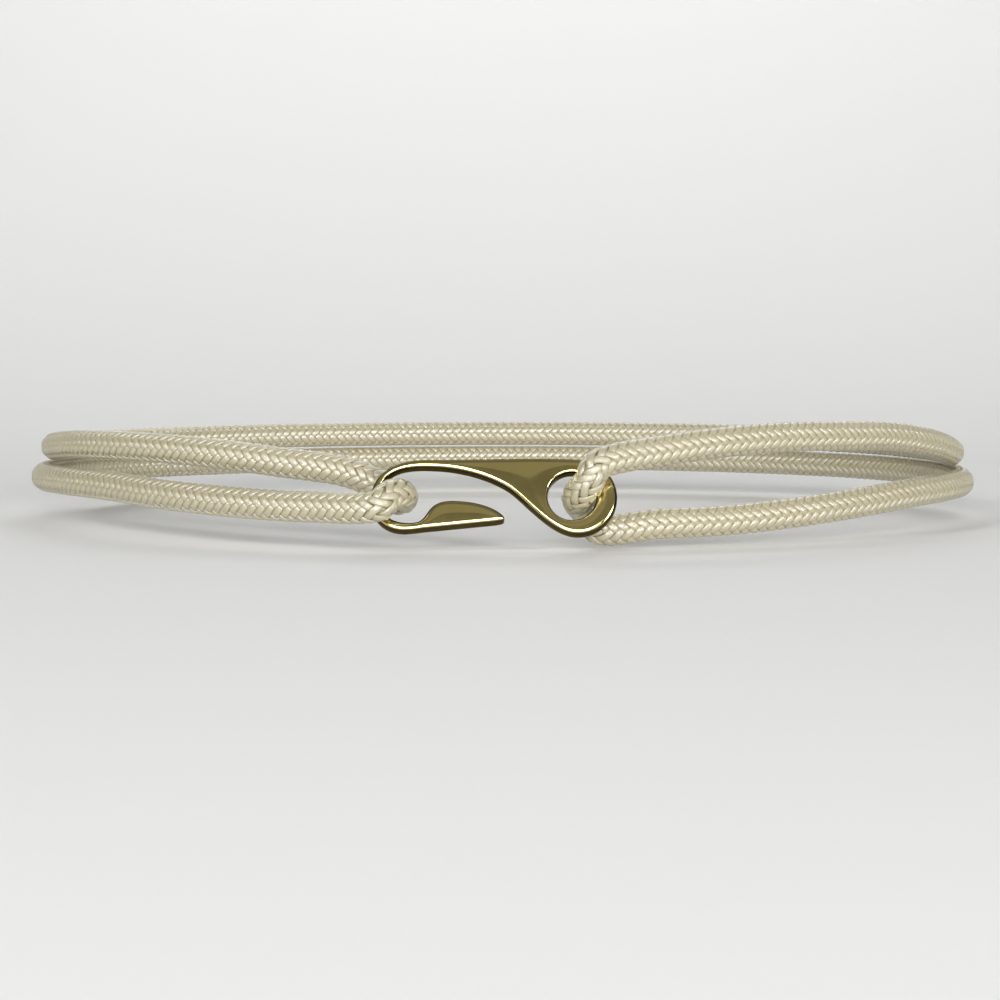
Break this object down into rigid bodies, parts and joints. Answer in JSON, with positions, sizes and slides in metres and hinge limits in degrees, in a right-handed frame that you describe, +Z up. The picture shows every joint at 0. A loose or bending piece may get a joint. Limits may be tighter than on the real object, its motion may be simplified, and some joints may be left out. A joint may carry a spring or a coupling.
{
  "type": "braided cord belt with hook buckle",
  "caption": "Endless round braided cord, doubled round the waist and closed in front by a flat cast hook with an eye.",
  "frame": {"origin": "middle of the waist opening, at the height of the belt's mid-line", "axes": "+Z up, the buckle at the front on the -Y side, +X towards the viewer's right"},
  "size_m": [0.292, 0.2288, 0.0325],
  "materials": {
    "cord": "silky ivory braid",
    "buckle": "polished pale gold"
  },
  "bodies": {
    "root": {"cord_loop": "cord", "hook_buckle": "buckle"}
  },
  "joints": []
}
